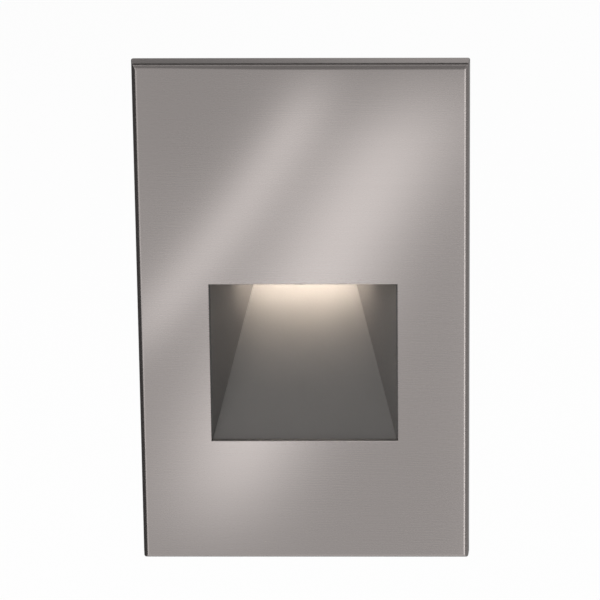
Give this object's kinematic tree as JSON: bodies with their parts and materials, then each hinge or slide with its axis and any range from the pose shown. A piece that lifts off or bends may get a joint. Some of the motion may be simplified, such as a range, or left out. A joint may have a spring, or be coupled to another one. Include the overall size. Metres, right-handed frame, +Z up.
{
  "type": "recessed step light",
  "caption": "Rectangular recessed step light: brushed faceplate with a square opening and a dark faceted scoop lit from above, on a cast can that goes into a wall box.",
  "frame": {"origin": "centre of the two box screws, on the wall's surface", "axes": "+Z up, +Y into the wall, the light faces -Y, +X to the right when seen from the front"},
  "size_m": [0.0762, 0.0516, 0.127],
  "materials": {
    "brushed_nickel": "die-cast, brushed sideways, satin nickel plating",
    "gasket_foam": "closed-cell foam",
    "zinc_steel": "galvanised",
    "black_steel": "black oxide",
    "cast_aluminium": "as cast",
    "stainless_steel": "bright",
    "scoop_coating": "die-cast, dark grey satin coating",
    "silicone": "matte",
    "frosted_glass": "frosted",
    "frame_plastic": "fine texture",
    "white_board": "white solder mask on a metal core",
    "led_phosphor": "clear silicone over phosphor",
    "connector_plastic": "natural nylon",
    "thermal_silicone": "matte",
    "extruded_aluminium": "mill finish",
    "green_board": "solder mask over glass laminate",
    "insulating_film": "translucent film",
    "ferrite": "sintered, ground faces",
    "winding_tape": "polyester tape over enamelled wire",
    "capacitor_sleeve": "shrunk sleeve",
    "film_capacitor_case": "moulded case",
    "black_epoxy": "moulded epoxy",
    "varistor_coating": "dipped epoxy",
    "resistor_coating": "cement coating",
    "red_insulation": "smooth insulation",
    "black_insulation": "smooth insulation",
    "bushing_nylon": "satin",
    "brass": "bright",
    "green_screw": "green passivated steel"
  },
  "bodies": {
    "bracket": {"mounting_bracket": "zinc_steel"},
    "head": {"faceplate": "brushed_nickel", "wall_gasket": "gasket_foam", "housing": "cast_aluminium", "housing_screws": "stainless_steel", "scoop": "scoop_coating", "scoop_seal": "silicone", "lens_seal": "silicone", "lens": "frosted_glass", "lens_frame": "frame_plastic", "lens_frame_screws": "stainless_steel", "led_board": "white_board", "led_emitters": "led_phosphor", "led_connector": "connector_plastic", "led_board_screws": "stainless_steel", "thermal_pad": "thermal_silicone", "heat_spreader": "extruded_aluminium", "heat_spreader_screws": "stainless_steel", "driver_board": "green_board", "driver_board_screws": "stainless_steel", "driver_insulator": "insulating_film", "transformer_core": "ferrite", "transformer_winding": "winding_tape", "bulk_capacitor": "capacitor_sleeve", "film_capacitor": "film_capacitor_case", "bridge_rectifier": "black_epoxy", "driver_chip": "black_epoxy", "varistor": "varistor_coating", "fusible_resistor": "resistor_coating", "driver_connector": "connector_plastic", "led_lead_positive": "red_insulation", "led_lead_negative": "black_insulation", "lead_bushing": "bushing_nylon", "earth_washer": "brass", "earth_screw": "green_screw"},
    "left_set_screw": {"set_screw_left": "black_steel"},
    "right_set_screw": {"set_screw_right": "black_steel"}
  },
  "joints": [
    {"name": "head_pull_off", "type": "slide", "parent": "bracket", "child": "head", "axis": [0, -1, 0], "range_m": [0, 0.06]},
    {"name": "left_set_screw_back_out", "type": "slide", "parent": "head", "child": "left_set_screw", "axis": [0, 0, -1], "range_m": [0, 0.0015]},
    {"name": "right_set_screw_back_out", "type": "slide", "parent": "head", "child": "right_set_screw", "axis": [0, 0, -1], "range_m": [0, 0.0015]}
  ]
}
